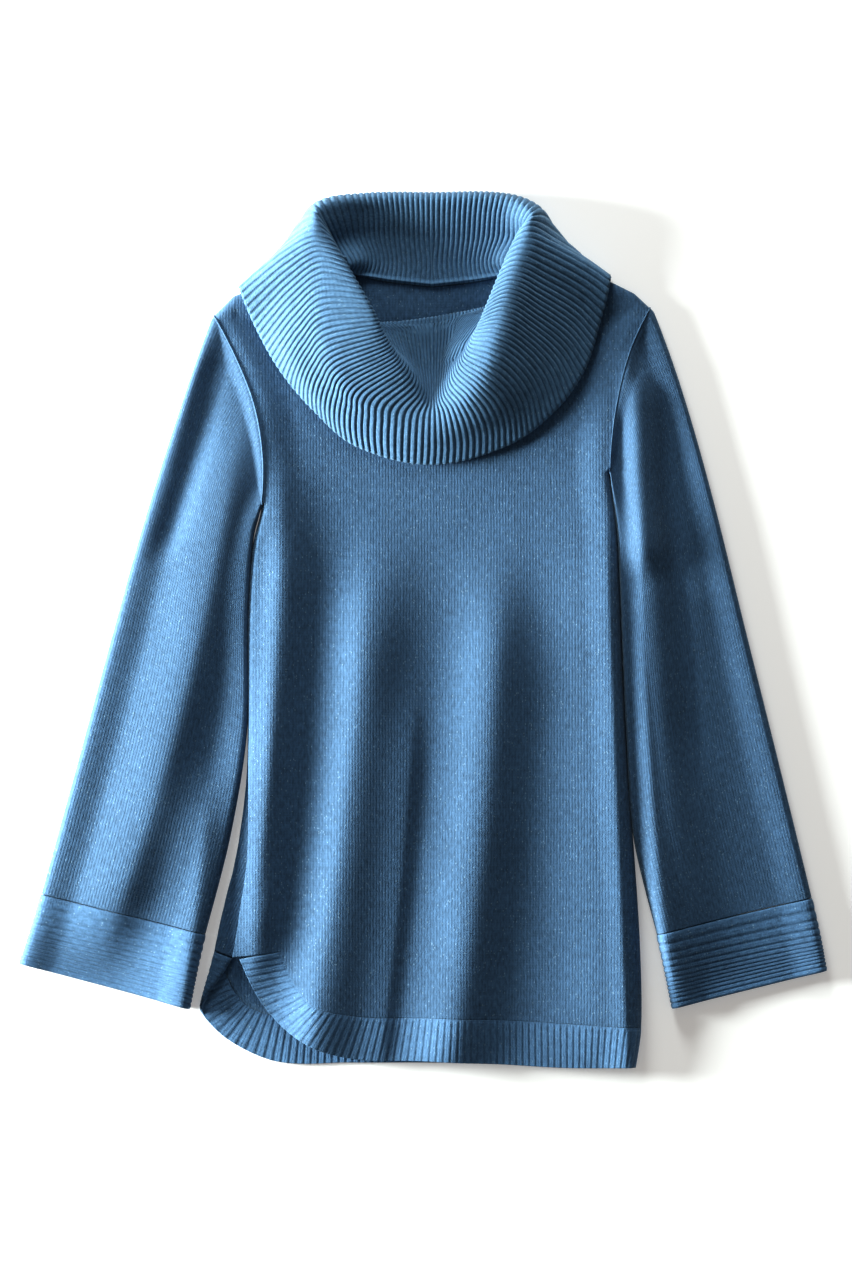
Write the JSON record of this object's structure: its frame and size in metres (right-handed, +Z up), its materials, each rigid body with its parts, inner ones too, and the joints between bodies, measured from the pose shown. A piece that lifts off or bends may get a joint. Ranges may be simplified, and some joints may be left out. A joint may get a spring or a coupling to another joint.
{
  "type": "tunic sweater",
  "caption": "Long loose knitted pullover laid out flat, with wide sleeves, deep cuffs, a ribbed hem that opens in a curved vent at one side and a big folded cowl collar.",
  "frame": {"origin": "on the ground below the middle of the garment's box", "axes": "+Y from hem to collar, +Z up out of the front, +X to the wearer's left"},
  "size_m": [0.726, 0.7868, 0.045],
  "materials": {
    "knit_plain": "soft brushed plain knit",
    "knit_band": "ribbed knit",
    "knit_rib": "thick ribbed knit"
  },
  "bodies": {
    "root": {"front_panel": "knit_plain", "back_panel": "knit_plain", "sleeve_left": "knit_plain", "sleeve_right": "knit_plain", "cuff_left": "knit_band", "cuff_right": "knit_band", "hem_band_front": "knit_band", "hem_band_back": "knit_band", "cowl": "knit_rib"}
  },
  "joints": []
}
